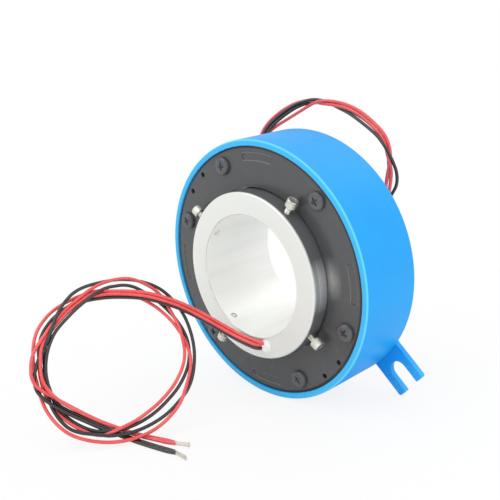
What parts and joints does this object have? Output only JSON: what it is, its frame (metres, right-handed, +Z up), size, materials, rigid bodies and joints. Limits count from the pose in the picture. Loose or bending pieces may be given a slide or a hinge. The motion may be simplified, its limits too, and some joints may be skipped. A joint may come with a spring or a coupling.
{
  "type": "slip ring",
  "caption": "Through-bore slip ring: blue housing with a torque fork, black cover, clamping sleeve, ball bearings, contact rings, wire brushes and loose red and black leads.",
  "frame": {"origin": "on the bore axis, in the plane of the housing's front rim", "axes": "-Y along the bore axis out of the clamping flange, +Z up, +X to the right seen from the flange; it stands on the housing's rim and a corner of the torque fork"},
  "size_m": [0.1774, 0.2338, 0.1865],
  "materials": {
    "blue_paint": "satin blue paint",
    "dark_plate": "smooth dark grey",
    "black_screws": "black oxide",
    "bright_screws": "zinc plated",
    "nickel_screws": "warm nickel plating",
    "bearing_steel": "ground",
    "bearing_balls": "polished",
    "bearing_cage": "plain",
    "satin_aluminium": "fine turned",
    "black_collar": "satin black anodised",
    "insulator": "moulded",
    "contact_brass": "polished",
    "black_spring_steel": "phosphated",
    "brush_plastic": "moulded",
    "brush_wire": "drawn",
    "white_grommet": "moulded",
    "lead_red": "smooth silicone insulation",
    "lead_black": "smooth silicone insulation",
    "tinned_wire": "tinned strands"
  },
  "bodies": {
    "stator": {"housing_shell": "blue_paint", "front_cover": "dark_plate", "cover_screws": "black_screws", "torque_fork": "blue_paint", "fork_screws": "bright_screws", "front_bearing_outer_race": "bearing_steel", "rear_bearing_outer_race": "bearing_steel", "brush_block_upper": "brush_plastic", "brush_block_lower": "brush_plastic", "brush_wires_upper": "brush_wire", "brush_wires_lower": "brush_wire", "brush_block_screws": "bright_screws", "brush_leads": "lead_red", "stator_lead_grommet": "white_grommet", "stator_leads": "lead_red", "stator_lead_tips": "tinned_wire"},
    "rotor": {"rotor_sleeve": "satin_aluminium", "rotor_collar": "black_collar", "clamp_screws": "nickel_screws", "insulating_tube": "insulator", "contact_ring_a": "contact_brass", "contact_ring_b": "contact_brass", "ring_barriers": "insulator", "ring_leads": "lead_red", "front_bearing_inner_race": "bearing_steel", "rear_bearing_inner_race": "bearing_steel", "rear_spacer": "bearing_steel", "retaining_ring": "black_spring_steel", "rotor_lead_grommet": "white_grommet", "rotor_leads": "lead_red", "rotor_lead_coil": "lead_red", "rotor_tails_red": "lead_red", "rotor_tails_black": "lead_black", "rotor_lead_tips": "tinned_wire"},
    "front_cage": {"front_bearing_balls": "bearing_balls", "front_bearing_cage": "bearing_cage"},
    "rear_cage": {"rear_bearing_balls": "bearing_balls", "rear_bearing_cage": "bearing_cage"}
  },
  "joints": [
    {"name": "rotor_spin", "type": "hinge", "parent": "stator", "child": "rotor", "pos_m": [0, 0, 0], "axis": [0, 1, 0], "continuous": true},
    {"name": "front_cage_spin", "type": "hinge", "parent": "stator", "child": "front_cage", "pos_m": [0, 0, 0], "axis": [0, 1, 0], "continuous": true},
    {"name": "rear_cage_spin", "type": "hinge", "parent": "stator", "child": "rear_cage", "pos_m": [0, 0, 0], "axis": [0, 1, 0], "continuous": true}
  ],
  "couplings": [
    {"joint": "front_cage_spin", "follows": "rotor_spin", "ratio": 0.4757},
    {"joint": "rear_cage_spin", "follows": "rotor_spin", "ratio": 0.4757}
  ]
}
